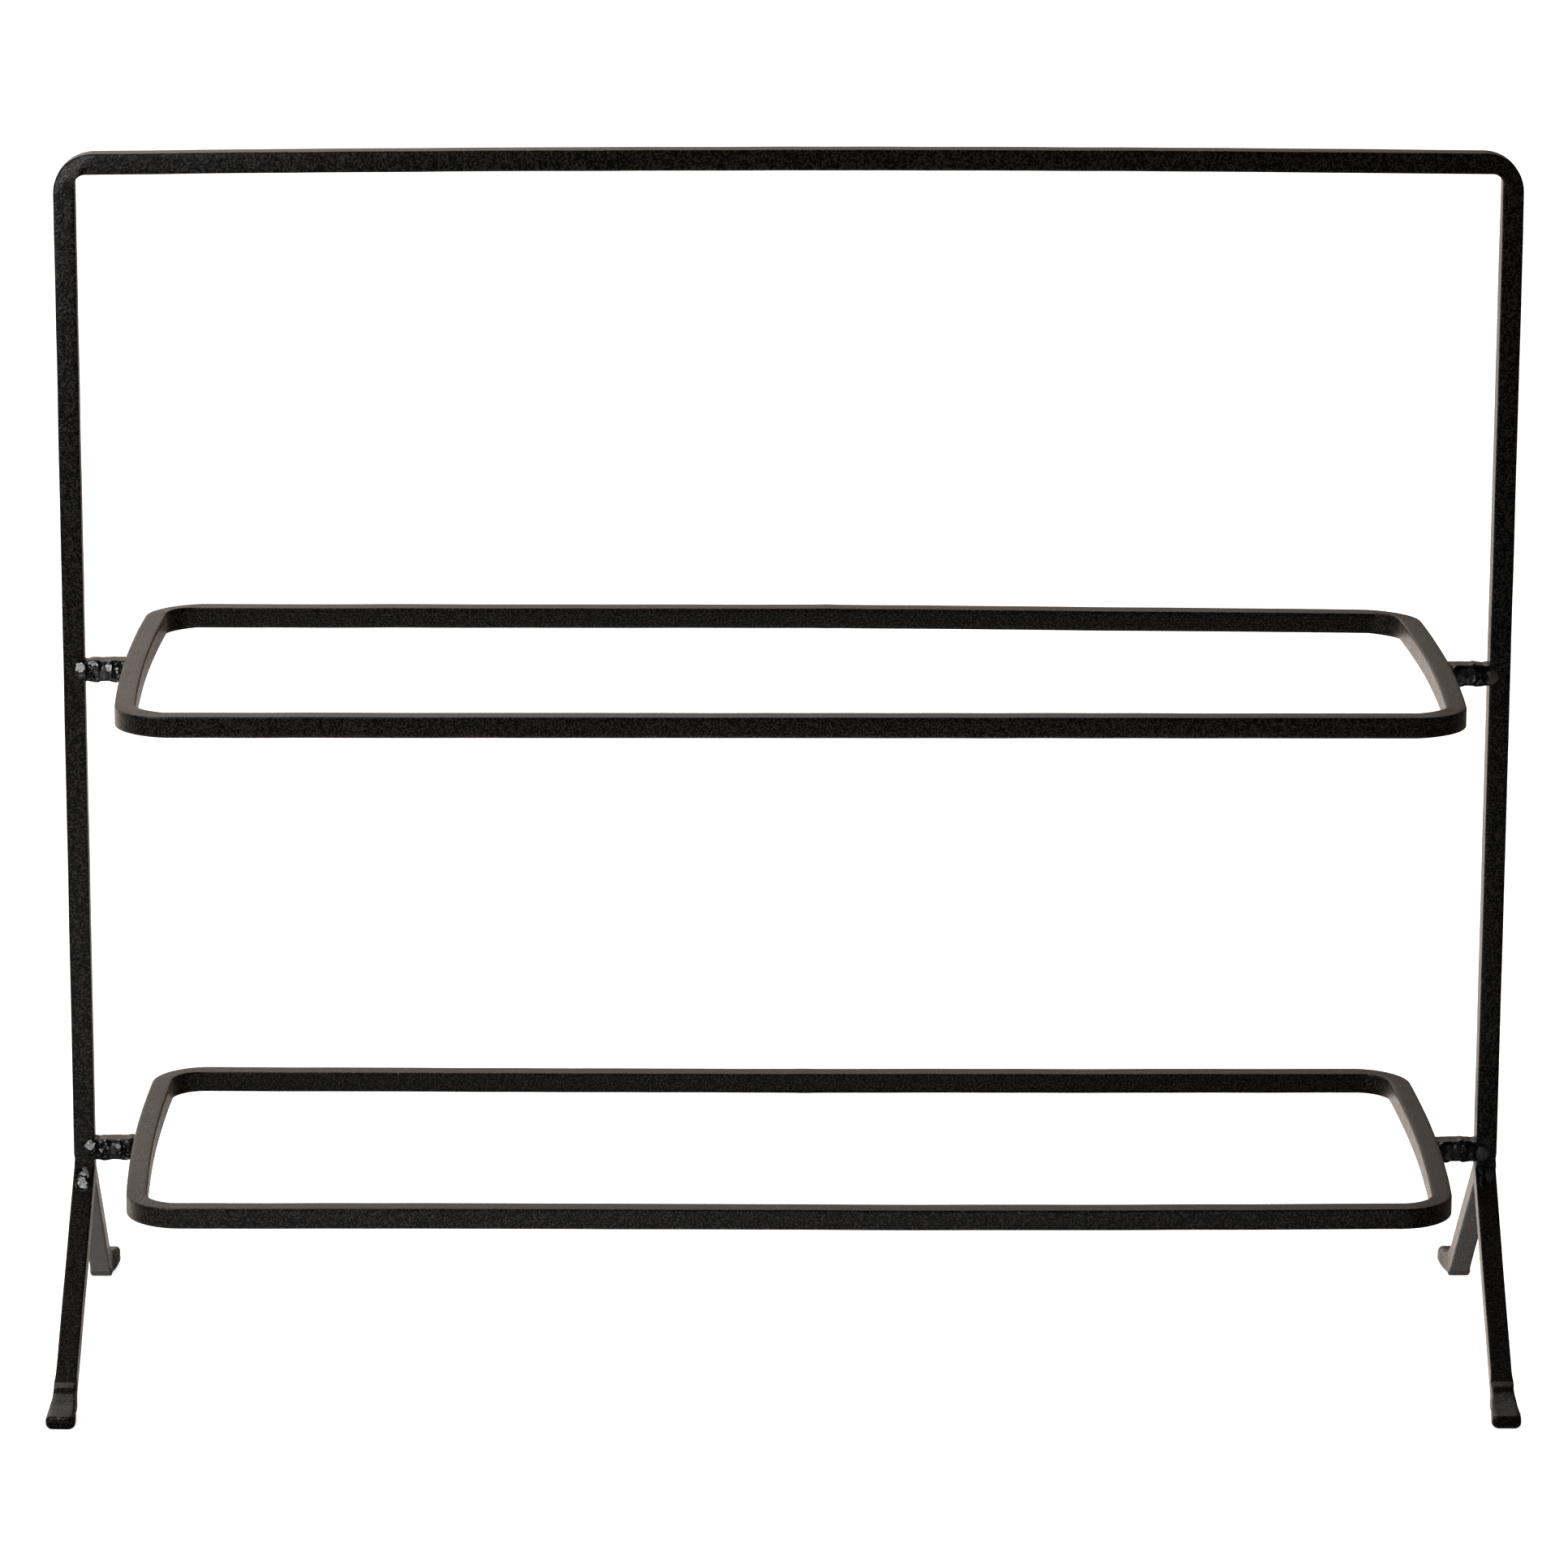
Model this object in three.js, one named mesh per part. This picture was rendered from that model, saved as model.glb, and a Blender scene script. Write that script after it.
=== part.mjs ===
import * as THREE from "three";

// A free-standing rack for firewood, bent and welded from one size of square steel bar.
// An arch stands on four splayed legs, and two level rings hold the logs between its posts.
// Millimetres, +Z up, +X to the right of somebody in front of the rack, who looks along +Y.
// The origin is on the floor, under the middle of the rack.

// The bar
const BAR = 10; // side of the square bar
const EDGE = 0.7; // chamfer along its four edges
const ROOT_GAP = 0.3; // left open between a sloping face and what is welded to it

// The arch
const POST_SPACING = 678; // between the centre lines of the two posts
const TOP_HEIGHT = 587; // floor to the top of the arch, at its corners
const TOP_CROWN = 2; // how far the top bar rises in its middle
const ARCH_OUTER_RADIUS = 18.5;
const ARCH_INNER_RADIUS = 4.5; // tighter than a true bend, because the bar was squeezed there

// The rings
const RING_LENGTH = 630; // over the middle of its ends
const RING_DEPTH = 229;
const RING_END_BOW = 2.5; // how far each end bows out between its corners
const RING_OUTER_RADIUS = 26;
const RING_INNER_RADIUS = 14;
const UPPER_RING_HEIGHT = 338; // floor to the middle of the bar
const LOWER_RING_HEIGHT = 100;

// The legs, by their distance outwards from the posts' middle plane
const POST_END = LOWER_RING_HEIGHT - BAR / 2; // the posts end level with the lower stubs
const APEX_HEIGHT = POST_END - ROOT_GAP; // where the upper faces of a pair of legs meet
const HEEL = 103; // the leg's lower face meets the floor here
const TOE_TIP = 126;
const TOE_WIDTH = 14; // the forged end spreads to this
const TOE_THICKNESS = 7;
const TOE_SHOULDER_HEIGHT = 14; // the step where the forging begins
const TOE_FLARE_START = 100;
const TOE_FLARE_END = 124;
const TOE_CORNER_RADIUS = 3;
const TOE_NOSE_RADIUS = 2.5;
const HEEL_ROUNDING = 1.5;
const LEDGE = 3.5; // the level top of the step
const FRONT_LEFT_TURN = THREE.MathUtils.degToRad(-1.7); // this leg was set slightly outwards

// The welds
const BEAD_PROUD = 2; // how far a bead stands out of the bar's face
const POST_BEAD_WIDTH = 7.5;
const POST_BEAD_HEIGHT = 9.4;
const POST_BEAD_OFFSET = 1; // the bead's middle is this far onto the post from the seam
const RING_BEAD_REACH = 8; // along the stub, from the ring
const RING_BEAD_LENGTH = 8.6; // across the stub
const LEG_BEAD_WIDTH = 9;
const LEG_BEAD_START = 2; // the bead fills the wedge between these two distances outwards
const LEG_BEAD_REACH = 13;

// The legs' slope follows from the bar, the heel and the apex.
const LEG_SLOPE = Math.acos(BAR / Math.hypot(HEEL, APEX_HEIGHT)) - Math.atan2(HEEL, APEX_HEIGHT);
const FALL = Math.tan(LEG_SLOPE);
const POST_X = POST_SPACING / 2;
const STUB_LENGTH = (POST_SPACING - BAR - RING_LENGTH) / 2;
const ARC_STEPS = 8;

function coat(name, color, roughness) {
  const material = new THREE.MeshStandardMaterial({ color, roughness, metalness: 0 });
  material.name = name;
  return material;
}

const powderCoat = () => coat("black_powder_coat", 0x161514, 0.5);
const weldCoat = () => coat("coated_weld", 0x0e0e0f, 0.25);

function piece(name, geometry, material) {
  const mesh = new THREE.Mesh(geometry, material);
  mesh.name = name;
  return mesh;
}

// An outline given thickness about its own plane, with every edge of it chamfered.
function thickened(outline, thickness, chamfer) {
  const depth = thickness - 2 * chamfer;
  const geometry = new THREE.ExtrudeGeometry(outline, {
    depth,
    steps: 1,
    curveSegments: ARC_STEPS,
    bevelEnabled: chamfer > 0,
    bevelSegments: 1,
    bevelThickness: chamfer,
    bevelSize: chamfer,
    bevelOffset: -chamfer,
  });
  geometry.translate(0, 0, -depth / 2);
  return geometry;
}

// The three axes that an outline's x, its y and its thickness turn into.
const LENGTHWISE = new THREE.Vector3(1, 0, 0);
const REARWARD = new THREE.Vector3(0, 1, 0);
const UPWARD = new THREE.Vector3(0, 0, 1);
const UPRIGHT_ACROSS = [LENGTHWISE, UPWARD, REARWARD.clone().negate()];
const UPRIGHT_ALONG = [REARWARD, UPWARD, LENGTHWISE];

function turnedTo(geometry, axes) {
  return geometry.applyMatrix4(new THREE.Matrix4().makeBasis(...axes));
}

// A rectangle about the origin, with round corners and with its two short sides bowed out.
function bowedRectangle(path, length, depth, radius) {
  const x = length / 2 - RING_END_BOW;
  const y = depth / 2;
  const crest = x + 2 * RING_END_BOW;
  path.moveTo(-x + radius, -y);
  path.lineTo(x - radius, -y);
  path.absarc(x - radius, -y + radius, radius, -Math.PI / 2, 0, false);
  path.quadraticCurveTo(crest, 0, x, y - radius);
  path.absarc(x - radius, y - radius, radius, 0, Math.PI / 2, false);
  path.lineTo(-x + radius, y);
  path.absarc(-x + radius, y - radius, radius, Math.PI / 2, Math.PI, false);
  path.quadraticCurveTo(-crest, 0, -x, -y + radius);
  path.absarc(-x + radius, -y + radius, radius, Math.PI, 1.5 * Math.PI, false);
  return path;
}

// One bar bent into an upside-down U: up the right post, over the crowned top, down the left one.
function archGeometry() {
  const outer = POST_X + BAR / 2;
  const inner = POST_X - BAR / 2;
  const top = TOP_HEIGHT;
  const under = TOP_HEIGHT - BAR;
  const outerRadius = ARCH_OUTER_RADIUS;
  const innerRadius = ARCH_INNER_RADIUS;
  const outline = new THREE.Shape();
  outline.moveTo(inner, POST_END);
  outline.lineTo(outer, POST_END);
  outline.lineTo(outer, top - outerRadius);
  outline.absarc(outer - outerRadius, top - outerRadius, outerRadius, 0, Math.PI / 2, false);
  outline.quadraticCurveTo(0, top + 2 * TOP_CROWN, -outer + outerRadius, top);
  outline.absarc(-outer + outerRadius, top - outerRadius, outerRadius, Math.PI / 2, Math.PI, false);
  outline.lineTo(-outer, POST_END);
  outline.lineTo(-inner, POST_END);
  outline.lineTo(-inner, under - innerRadius);
  outline.absarc(-inner + innerRadius, under - innerRadius, innerRadius, Math.PI, Math.PI / 2, true);
  outline.quadraticCurveTo(0, under + 2 * TOP_CROWN, inner - innerRadius, under);
  outline.absarc(inner - innerRadius, under - innerRadius, innerRadius, Math.PI / 2, 0, true);
  outline.closePath();
  return turnedTo(thickened(outline, BAR, EDGE), UPRIGHT_ACROSS);
}

// One bar bent into a level rectangle and closed by a weld that was ground flush.
function ringGeometry() {
  const innerLength = RING_LENGTH - 2 * BAR;
  const innerDepth = RING_DEPTH - 2 * BAR;
  const outline = bowedRectangle(new THREE.Shape(), RING_LENGTH, RING_DEPTH, RING_OUTER_RADIUS);
  outline.holes.push(bowedRectangle(new THREE.Path(), innerLength, innerDepth, RING_INNER_RADIUS));
  return thickened(outline, BAR, EDGE);
}

// The short bar that joins a ring's end to a post.
function stubGeometry() {
  const half = BAR / 2;
  const section = new THREE.Shape();
  section.moveTo(-half + EDGE, -half);
  section.lineTo(half - EDGE, -half);
  section.lineTo(half, -half + EDGE);
  section.lineTo(half, half - EDGE);
  section.lineTo(half - EDGE, half);
  section.lineTo(-half + EDGE, half);
  section.lineTo(-half, half - EDGE);
  section.lineTo(-half, -half + EDGE);
  section.closePath();
  return thickened(section, STUB_LENGTH, 0).rotateY(Math.PI / 2);
}

// Height of a leg's upper face, at a distance outwards from the posts' middle plane.
const legTop = (out) => APEX_HEIGHT - FALL * out;

// Half the width of a leg there: the bar's own, then the flare, then the round front corners.
function legHalfWidth(out) {
  const along = THREE.MathUtils.inverseLerp(TOE_FLARE_START, TOE_FLARE_END, out);
  const flare = THREE.MathUtils.clamp(along, 0, 1);
  const half = (BAR + (TOE_WIDTH - BAR) * flare) / 2;
  const intoCorner = Math.max(0, out - (TOE_TIP - TOE_CORNER_RADIUS));
  const cornerLoss = TOE_CORNER_RADIUS - Math.sqrt(TOE_CORNER_RADIUS ** 2 - intoCorner ** 2);
  return half - cornerLoss;
}

// A leg from the side: mitred at the top, straight down to the heel, then forged to a flat toe.
function legOutline() {
  const mitre = ROOT_GAP / 2;
  const crotch = FALL * (HEEL - mitre);
  const stepFoot = HEEL + HEEL_ROUNDING;
  const hollow = (HEEL + TOE_TIP) / 2;
  const noseStart = TOE_TIP - TOE_CORNER_RADIUS;
  const outline = new THREE.Shape();
  outline.moveTo(mitre, crotch);
  outline.lineTo(HEEL - 1, FALL);
  outline.quadraticCurveTo(HEEL, 0, stepFoot, 0);
  for (let out = HEEL + 5; out < noseStart; out += 5) outline.lineTo(out, 0);
  outline.lineTo(noseStart, 0);
  outline.quadraticCurveTo(TOE_TIP, 0, TOE_TIP, TOE_NOSE_RADIUS);
  outline.lineTo(TOE_TIP, TOE_THICKNESS - TOE_NOSE_RADIUS);
  outline.quadraticCurveTo(TOE_TIP, TOE_THICKNESS, TOE_TIP - TOE_NOSE_RADIUS, TOE_THICKNESS);
  outline.quadraticCurveTo(hollow, TOE_THICKNESS, stepFoot, TOE_SHOULDER_HEIGHT - HEEL_ROUNDING);
  outline.lineTo(HEEL, TOE_SHOULDER_HEIGHT);
  outline.lineTo(HEEL - LEDGE, legTop(HEEL - LEDGE));
  outline.lineTo(mitre, legTop(mitre));
  outline.closePath();
  return outline;
}

function legGeometry() {
  const geometry = turnedTo(thickened(legOutline(), BAR, EDGE), UPRIGHT_ALONG);
  const position = geometry.attributes.position;
  for (let i = 0; i < position.count; i += 1) {
    const spread = legHalfWidth(Math.min(position.getY(i), TOE_TIP)) / (BAR / 2);
    position.setX(i, position.getX(i) * spread);
  }
  return geometry;
}

// The bead over the seam where a stub's face meets the post's: a low dome, its flat side on the bar.
function postBeadGeometry() {
  const profile = new THREE.Path();
  profile.moveTo(0, 0);
  profile.lineTo(1, 0);
  profile.absellipse(0, 0, 1, 1, 0, Math.PI / 2, false, 0);
  const dome = new THREE.LatheGeometry(profile.getPoints(6), 16);
  return dome.scale(POST_BEAD_WIDTH / 2, BEAD_PROUD, POST_BEAD_HEIGHT / 2);
}

// The bead in the corner between a stub's face and the ring's end: thickest at the ring.
function ringBeadGeometry() {
  const rootHeight = 1.4 * BEAD_PROUD;
  const bulge = 1.6 * BEAD_PROUD;
  const section = new THREE.Shape();
  section.moveTo(0, 0);
  section.lineTo(RING_BEAD_REACH, 0);
  section.quadraticCurveTo(RING_BEAD_REACH / 2, bulge, 0, rootHeight);
  section.closePath();
  return thickened(section, RING_BEAD_LENGTH, 0);
}

// The bead that fills the wedge between the post's end and a leg, and laps down the leg.
function legBeadGeometry() {
  const postFace = BAR / 2;
  const crest = (postFace + LEG_BEAD_REACH) / 2;
  const clear = ROOT_GAP / Math.cos(LEG_SLOPE);
  const section = new THREE.Shape();
  section.moveTo(LEG_BEAD_START, POST_END);
  section.lineTo(LEG_BEAD_START, legTop(LEG_BEAD_START) + clear);
  section.lineTo(LEG_BEAD_REACH, legTop(LEG_BEAD_REACH) + clear);
  section.quadraticCurveTo(crest, POST_END - 1, postFace, POST_END);
  section.closePath();
  return turnedTo(thickened(section, LEG_BEAD_WIDTH, 0), UPRIGHT_ALONG);
}

const rack = new THREE.Group();
rack.name = "firewood_rack";
rack.add(piece("arch_frame", archGeometry(), powderCoat()));

const SIDES = [
  { side: "left", sign: -1 },
  { side: "right", sign: 1 },
];
const FACES = [
  { face: "front", facing: -1 },
  { face: "rear", facing: 1 },
];
const LEVELS = [
  { level: "upper", height: UPPER_RING_HEIGHT },
  { level: "lower", height: LOWER_RING_HEIGHT },
];

// The two rings, each with a stub to either post and a bead on each face of the stub's two ends.
for (const { level, height } of LEVELS) {
  const shelf = new THREE.Group();
  shelf.position.z = height;
  shelf.add(piece(`${level}_ring`, ringGeometry(), powderCoat()));
  for (const { side, sign } of SIDES) {
    const stub = piece(`${level}_${side}_stub`, stubGeometry(), powderCoat());
    stub.position.x = sign * (POST_X - BAR / 2 - STUB_LENGTH / 2);
    shelf.add(stub);
    for (const { face, facing } of FACES) {
      const postBead = piece(`${level}_${side}_post_weld_${face}`, postBeadGeometry(), weldCoat());
      const seam = POST_X - BAR / 2;
      postBead.position.set(sign * (seam + POST_BEAD_OFFSET), (facing * BAR) / 2, 0);
      postBead.scale.y = facing;
      shelf.add(postBead);

      const ringBead = piece(`${level}_${side}_ring_weld_${face}`, ringBeadGeometry(), weldCoat());
      ringBead.position.set((sign * RING_LENGTH) / 2, (facing * BAR) / 2, 0);
      ringBead.scale.set(sign, facing, 1);
      shelf.add(ringBead);
    }
  }
  rack.add(shelf);
}

// Under each post, a front and a rear leg meet in a mitre, each welded to the post's end.
for (const { side, sign } of SIDES) {
  for (const { face, facing } of FACES) {
    const foot = new THREE.Group();
    foot.position.x = sign * POST_X;
    foot.rotation.z = facing > 0 ? 0 : Math.PI;
    const leg = piece(`${side}_${face}_leg`, legGeometry(), powderCoat());
    leg.rotation.z = side === "left" && face === "front" ? FRONT_LEFT_TURN : 0;
    foot.add(leg);
    foot.add(piece(`${side}_leg_weld_${face}`, legBeadGeometry(), weldCoat()));
    rack.add(foot);
  }
}

export default rack;
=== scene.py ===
import math

import bmesh
import bpy
import numpy as np
from mathutils import Matrix, Vector, noise


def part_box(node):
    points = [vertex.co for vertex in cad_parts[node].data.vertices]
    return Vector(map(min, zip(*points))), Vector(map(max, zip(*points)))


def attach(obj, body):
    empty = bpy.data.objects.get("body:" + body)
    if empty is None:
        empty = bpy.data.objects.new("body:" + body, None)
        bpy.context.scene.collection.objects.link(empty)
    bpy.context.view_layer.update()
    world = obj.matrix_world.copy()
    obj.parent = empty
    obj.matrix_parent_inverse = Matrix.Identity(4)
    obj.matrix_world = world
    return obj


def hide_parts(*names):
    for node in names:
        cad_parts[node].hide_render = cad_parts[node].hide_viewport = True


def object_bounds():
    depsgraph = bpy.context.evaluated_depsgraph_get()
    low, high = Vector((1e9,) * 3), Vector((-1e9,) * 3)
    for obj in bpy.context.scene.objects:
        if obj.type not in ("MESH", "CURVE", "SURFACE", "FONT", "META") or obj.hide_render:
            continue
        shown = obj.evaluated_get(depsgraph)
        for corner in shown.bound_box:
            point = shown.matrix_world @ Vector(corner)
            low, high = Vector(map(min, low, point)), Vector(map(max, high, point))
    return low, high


# The looks of a free-standing firewood rack, bent and welded from one size of square bar.
# Shapes are worked out in millimetres in the CAD frame and turned into metres last.

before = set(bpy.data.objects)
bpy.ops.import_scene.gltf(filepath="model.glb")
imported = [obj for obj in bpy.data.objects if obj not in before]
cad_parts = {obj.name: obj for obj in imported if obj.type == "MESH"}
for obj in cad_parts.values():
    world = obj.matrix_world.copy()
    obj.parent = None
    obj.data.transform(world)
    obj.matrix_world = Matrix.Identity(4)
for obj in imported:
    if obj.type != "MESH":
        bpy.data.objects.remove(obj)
CAD_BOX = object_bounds()
MM = 0.001
CAD_LOW, CAD_HIGH = (np.array(corner) / MM for corner in CAD_BOX)


def box_mm(node):
    """Lowest and highest corner of a CAD node, in millimetres."""
    low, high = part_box(node)
    return np.array(low) / MM, np.array(high) / MM


# The bar
ARCH_LOW, ARCH_HIGH = box_mm("arch_frame")
BAR = ARCH_HIGH[1] - ARCH_LOW[1]
HALF = BAR / 2
EDGE = 0.85  # radius of the bar's rolled edges under the coat
STEP = 2.5  # between stations along a straight stretch

# The bends
BEND_STEPS = 18
BEND_THINNING = 0.6  # how much a bend thins at its outer side, for what it bulges at its inner

# The arch
ARCH_OUTER = ARCH_HIGH[0]
ARCH_INNER = ARCH_OUTER - BAR
TOP_CROWN = 2.0
TOP = ARCH_HIGH[2] - TOP_CROWN
POST_END = ARCH_LOW[2] - 4.6  # the weld fills the wedge above the legs
NECK = 0.35  # how much narrower the posts are where the legs begin
NECK_REACH = 1.6
ARCH_OUTER_RADIUS = 18.5
ARCH_INNER_RADIUS = 4.5
ARCH_BULGES = (1.9, 1.1)  # at the left bend and the right one
ARCH_TILT = 0.7  # how far the top bar's right end is raised, and its left end dropped
ARCH_DROP = 0.2
POST_X = ARCH_OUTER - HALF
RIGHT_POST_TWIST = math.radians(3)  # its inner side turned a little to the front

# The rings
RING_DEPTH = box_mm("upper_ring")[1][1] - HALF  # from the middle to that of the long bars
RING_END_BOW = 2.5
RING_OUTER_RADIUS = 26.0
RING_INNER_RADIUS = 14.0
BUTT_WELD_SWELL = 0.025
BUTT_WELD_REACH = 4
UPPER_DROOP = 2.2  # how far the upper ring's back bar droops to the right, and where it does
UPPER_DROOP_START, UPPER_DROOP_RUN, UPPER_DROOP_MOST = 20, 245, 1.1
LOWER_LIFT = 0.56  # how high the lower ring's front bar stands, less its sag
LOWER_SAG, LOWER_SAG_AT, LOWER_SAG_REACH = 0.98, 105, 190
LOWER_CORNER_RUN = 300  # over which its back bar rises by 1, to the left

# The legs, by their distance outwards from the posts' middle plane
HEEL = 103.0
FORGING = HEEL - 10  # finer stations from here
HEEL_BEGINS = HEEL - 6  # where the leg starts to turn into the toe
LEG_HIGH = box_mm("right_rear_leg")[1]
TOE_TIP = LEG_HIGH[1]
APEX_HEIGHT = LEG_HIGH[2]
LEG_SLOPE = math.acos(BAR / math.hypot(HEEL, APEX_HEIGHT)) - math.atan2(HEEL, APEX_HEIGHT)
FALL = math.tan(LEG_SLOPE)
HEEL_SOFTNESS = 1.2
KNOT_SOFTNESS = 1.1
TOE_TOP = [(100.6, 14.8), (105.0, 13.2), (105.5, 12.0), (109.0, 10.3), (113.0, 8.7)]
TOE_TOP += [(118.0, 7.3), (123.0, 6.5), (127.0, 6.2)]
TOE_WIDTH = 14.2
TOE_EDGE = 1.3  # radius of the toe's edges, and of the nose's
NOSE_EDGE = 2.6
NOSE_EDGE_START, NOSE_EDGE_END = 112, 122  # where the one radius turns into the other
NOSE_TOP_RADIUS, NOSE_SOLE_RADIUS, NOSE_CORNER_RADIUS = 2.2, 1.3, 2.8
NOSE_LENGTH = 3
NOSE_STATIONS = 14
FORGED_STEP = 0.5
LEDGE_SWELLING, LEDGE_REACH = 0.5, 3.0
MITRE_GAP = 0.15
FLARE_START, FLARE_END = 104.0, 121.0
REAR_TOE_SHIFT = 1.4  # how far the rear toes are forged inwards
REAR_TOE_EXTRA = 2.2  # how much thicker they are
REAR_TOE_FULL = 116  # and where they are so in full
LEG_TURNS = {"left_front_leg": -1.7, "left_rear_leg": 1.1}  # degrees

# The stubs
STUB_OVERLAP = 1  # how far a stub runs into the bars it joins
STUB_STATIONS = 56

# The faces' and the beads' relief
COAT_WAVE = 0.12  # how far the bar's faces wander
COAT_WAVE_SIZE = 34.0
HAMMER_MARK = 0.28
HAMMER_MARK_SIZE = 6.0
STUB_WAVE = 0.16
STUB_WAVE_SIZE = 3.0
BEAD_VOXEL = 0.28
BEAD_ROOT = 0.6  # how deep a bead's middle lies in the bar
STUB_BEAD_RIPPLE, STUB_BEAD_LUMP = 0.16, 0.3
LEG_BEAD_RIPPLE, LEG_BEAD_LUMP = 0.2, 0.25
CRATER_RIM, CRATER_RIM_AT, CRATER_RIM_REACH = 0.22, 1.25, 0.3
FLAT_TILT = (-0.13, 0.93, 0.576)  # which way the flats on the beads face, at the floor
FLAT_TILT_FALL = 0.66  # how much less they tilt up, per metre of height
FLAT_DEPTH = 0.15
BEAD_RIPPLE_SIZE = 1.6
BEAD_LUMP_SIZE = 3.5

# The materials
POWDER_COLOUR, SPECK_COLOUR = (0.0008, 0.0008, 0.0007), (0.044, 0.041, 0.038)
POWDER_SPECULAR = 0.12
POWDER_SHEEN, POWDER_SHEEN_ROUGHNESS = 0.10, 0.35
POWDER_SHEEN_TINT = (1.0, 0.74, 0.54, 1)
POWDER_ROUGHNESS = (0.20, 0.26)
WELD_COLOUR, DULL_WELD_COLOUR = (0.0012, 0.0012, 0.0012), (0.014, 0.0135, 0.013)
WELD_SPECULAR = 0.5
WELD_ROUGHNESS = (0.18, 0.34)
DULL_EXTRA_ROUGHNESS = 0.30  # added where the weld is dull
STREAK_TILT = math.radians(35)
STREAK_STRETCH = 0.3  # the noise's scale along the streaks, against 1 across them

# The materials' features: size and depth
GRAIN_SIZE, GRAIN_DEPTH = 0.9, 0.27
PEEL_SIZE, PEEL_DEPTH = 3.2, 0.05
MOTTLE_SIZE = 14.0
WELD_RIPPLE_SIZE, WELD_RIPPLE_DEPTH = 0.55, 0.1
WELD_LUMP_SIZE, WELD_LUMP_DEPTH = 2.6, 0.3
SPECK_START, SPECK_FULL = 0.51, 0.68  # the grain's values where its glinting specks begin
MID_NOISE = (0.35, 0.65)  # where most of a noise's values lie


def share(value, start, end):
    """0 before start, 1 after end, and smooth in between."""
    t = np.clip((np.asarray(value, float) - start) / (end - start), 0, 1)
    return t * t * (3 - 2 * t)


def hump(value, middle, reach):
    """1 at the middle, falling smoothly to 0 within about twice the reach."""
    return np.exp(-(((np.asarray(value, float) - middle) / reach) ** 2))


def wander(points, size, seed):
    """Smooth noise from about -1 to 1 at each point, with features of about that size."""
    offset = Vector((seed * 7.31, seed * 3.17, seed * 5.71))
    return np.array([noise.noise(Vector(p) / size + offset) for p in points])


# --- Materials ---------------------------------------------------------------------------


def noise_node(nodes, links, coordinates, size_mm, detail):
    """Noise with features of about this size, in the frame's coordinates."""
    texture = nodes.new("ShaderNodeTexNoise")
    texture.inputs["Scale"].default_value = 1 / (size_mm * MM)
    texture.inputs["Detail"].default_value = detail
    texture.inputs["Roughness"].default_value = 0.55
    links.new(coordinates.outputs["Object"], texture.inputs["Vector"])
    return texture.outputs["Fac"]


def streak_node(nodes, links, coordinates, size_mm):
    """Noise drawn out along a diagonal of the front view, as a weld's ripples are."""
    turned = nodes.new("ShaderNodeMapping")
    turned.inputs["Rotation"].default_value = (0, STREAK_TILT, 0)
    turned.inputs["Scale"].default_value = (1, 1, STREAK_STRETCH)
    links.new(coordinates.outputs["Object"], turned.inputs["Vector"])
    texture = nodes.new("ShaderNodeTexNoise")
    texture.inputs["Scale"].default_value = 1 / (size_mm * MM)
    texture.inputs["Detail"].default_value = 1
    links.new(turned.outputs["Vector"], texture.inputs["Vector"])
    return texture.outputs["Fac"]


def ramp_node(nodes, links, factor, stops):
    """A colour ramp through (position, colour) stops."""
    ramp = nodes.new("ShaderNodeValToRGB")
    elements = ramp.color_ramp.elements
    while len(elements) < len(stops):
        elements.new(0.5)
    for element, (position, colour) in zip(elements, stops):
        element.position = position
        element.color = (*colour, 1)
    links.new(factor, ramp.inputs["Fac"])
    return ramp.outputs["Color"]


def range_node(nodes, links, factor, low, high, to_low, to_high):
    """The factor, clamped to low..high and spread over to_low..to_high."""
    mapped = nodes.new("ShaderNodeMapRange")
    links.new(factor, mapped.inputs["Value"])
    mapped.inputs["From Min"].default_value = low
    mapped.inputs["From Max"].default_value = high
    mapped.inputs["To Min"].default_value = to_low
    mapped.inputs["To Max"].default_value = to_high
    return mapped.outputs["Result"]


def math_node(nodes, links, operation, *operands):
    """An arithmetic node; its operands are outputs."""
    worked = nodes.new("ShaderNodeMath")
    worked.operation = operation
    for socket, operand in zip(worked.inputs, operands):
        links.new(operand, socket)
    return worked.outputs["Value"]


def bump_node(nodes, links, height, depth_mm, under=None):
    """Relief of this depth, over another bump's if one is given."""
    bump = nodes.new("ShaderNodeBump")
    bump.inputs["Strength"].default_value = 1
    bump.inputs["Distance"].default_value = depth_mm * MM
    links.new(height, bump.inputs["Height"])
    if under is not None:
        links.new(under, bump.inputs["Normal"])
    return bump.outputs["Normal"]


def new_material(name):
    """A material with its nodes, links, shader and object coordinates."""
    material = bpy.data.materials.new(name)
    material.use_nodes = True
    nodes, links = material.node_tree.nodes, material.node_tree.links
    where = nodes.new("ShaderNodeTexCoord")
    return material, nodes, links, nodes["Principled BSDF"], where


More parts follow.
